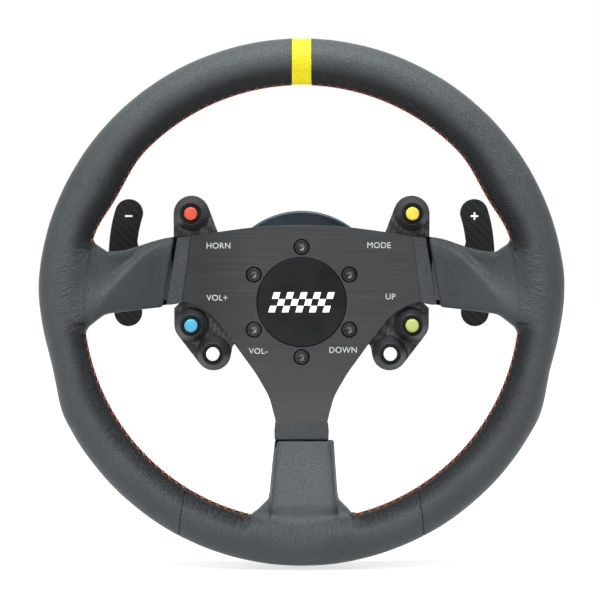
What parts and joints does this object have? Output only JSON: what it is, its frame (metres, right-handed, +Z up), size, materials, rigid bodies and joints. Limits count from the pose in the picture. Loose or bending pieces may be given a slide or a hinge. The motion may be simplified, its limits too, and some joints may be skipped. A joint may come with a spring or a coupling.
{
  "type": "racing steering wheel",
  "caption": "Round leather racing wheel with a flat metal spoke frame, push buttons, carbon shift paddles, a ball-lock quick release and a column boss.",
  "frame": {"origin": "centre of the hub boss's rear face, on the steering axis", "axes": "+Z up, +X to the driver's right, +Y away from the driver along the steering axis; the driver is towards -Y"},
  "size_m": [0.3276, 0.1655, 0.33],
  "materials": {
    "boss_grey": "anodised dark grey, satin",
    "black_metal": "black anodised, satin",
    "brushed_black": "black anodised, brushed sideways",
    "hoop_metal": "bare",
    "bolt_black": "black oxide",
    "steel": "plain",
    "gold": "gold anodised, satin",
    "plastic": "fine grain",
    "bezel": "satin",
    "cap": "satin",
    "carbon": "twill carbon fibre under satin lacquer",
    "board": "solder mask",
    "leather": "smooth grain",
    "marker": "yellow leather",
    "foam": "moulded polyurethane foam",
    "horn_colour": "satin",
    "mode_colour": "satin",
    "volume_up_colour": "satin",
    "volume_down_colour": "satin",
    "up_colour": "satin",
    "down_colour": "satin"
  },
  "bodies": {
    "hub": {"hub_boss": "boss_grey", "quick_release_base": "black_metal", "base_screw_1": "steel", "base_screw_2": "steel", "base_screw_3": "steel", "base_screw_4": "steel", "base_screw_5": "steel", "base_screw_6": "steel"},
    "wheel": {"quick_release_body": "black_metal", "locking_balls": "steel", "collar_snap_ring": "steel", "box_rear_cover": "plastic", "circuit_board": "board", "data_socket": "plastic", "button_plate": "carbon", "horn_bezel": "bezel", "mode_bezel": "bezel", "volume_up_bezel": "bezel", "volume_down_bezel": "bezel", "up_bezel": "bezel", "down_bezel": "bezel", "horn_switch": "plastic", "mode_switch": "plastic", "volume_up_switch": "plastic", "volume_down_switch": "plastic", "up_switch": "plastic", "down_switch": "plastic", "spoke_frame": "brushed_black", "wheel_bolt_1": "bolt_black", "wheel_bolt_2": "bolt_black", "wheel_bolt_3": "bolt_black", "wheel_bolt_4": "bolt_black", "wheel_bolt_5": "bolt_black", "wheel_bolt_6": "bolt_black", "centre_cap": "cap", "rim_hoop": "hoop_metal", "rim_foam": "foam", "leather_left": "leather", "leather_right": "leather", "leather_bottom": "leather", "top_marker": "marker", "spoke_pad_left": "leather", "spoke_pad_right": "leather", "spoke_pad_bottom": "leather", "paddle_block_left": "plastic", "paddle_block_right": "plastic", "paddle_pin_left": "steel", "paddle_pin_right": "steel"},
    "collar": {"release_collar": "gold", "collar_spring": "steel"},
    "left_paddle": {"paddle_arm_left": "black_metal", "paddle_blade_left": "carbon"},
    "right_paddle": {"paddle_arm_right": "black_metal", "paddle_blade_right": "carbon"},
    "horn_key": {"horn_button": "horn_colour"},
    "mode_key": {"mode_button": "mode_colour"},
    "volume_up_key": {"volume_up_button": "volume_up_colour"},
    "volume_down_key": {"volume_down_button": "volume_down_colour"},
    "up_key": {"up_button": "up_colour"},
    "down_key": {"down_button": "down_colour"}
  },
  "joints": [
    {"name": "wheel_release", "type": "slide", "parent": "hub", "child": "wheel", "axis": [0, -1, 0], "range_m": [0, 0.05]},
    {"name": "collar_pull", "type": "slide", "parent": "wheel", "child": "collar", "axis": [0, -1, 0], "range_m": [0, 0.006], "stiffness_N_per_m": 2000, "springref_m": -0.006, "deforming": ["collar_spring"]},
    {"name": "left_paddle_pull", "type": "hinge", "parent": "wheel", "child": "left_paddle", "pos_m": [-0.05, -0.0835, 0.012], "axis": [0, 0, 1], "range_deg": [0, 5], "stiffness_Nm_per_rad": 3, "springref_deg": -5.73},
    {"name": "right_paddle_pull", "type": "hinge", "parent": "wheel", "child": "right_paddle", "pos_m": [0.05, -0.0835, 0.012], "axis": [0, 0, -1], "range_deg": [0, 5], "stiffness_Nm_per_rad": 3, "springref_deg": -5.73},
    {"name": "horn_press", "type": "slide", "parent": "wheel", "child": "horn_key", "axis": [0, 1, 0], "range_m": [0, 0.0015], "stiffness_N_per_m": 1500, "springref_m": -0.001},
    {"name": "mode_press", "type": "slide", "parent": "wheel", "child": "mode_key", "axis": [0, 1, 0], "range_m": [0, 0.0015], "stiffness_N_per_m": 1500, "springref_m": -0.001},
    {"name": "volume_up_press", "type": "slide", "parent": "wheel", "child": "volume_up_key", "axis": [0, 1, 0], "range_m": [0, 0.0015], "stiffness_N_per_m": 1500, "springref_m": -0.001},
    {"name": "volume_down_press", "type": "slide", "parent": "wheel", "child": "volume_down_key", "axis": [0, 1, 0], "range_m": [0, 0.0015], "stiffness_N_per_m": 1500, "springref_m": -0.001},
    {"name": "up_press", "type": "slide", "parent": "wheel", "child": "up_key", "axis": [0, 1, 0], "range_m": [0, 0.0015], "stiffness_N_per_m": 1500, "springref_m": -0.001},
    {"name": "down_press", "type": "slide", "parent": "wheel", "child": "down_key", "axis": [0, 1, 0], "range_m": [0, 0.0015], "stiffness_N_per_m": 1500, "springref_m": -0.001}
  ]
}
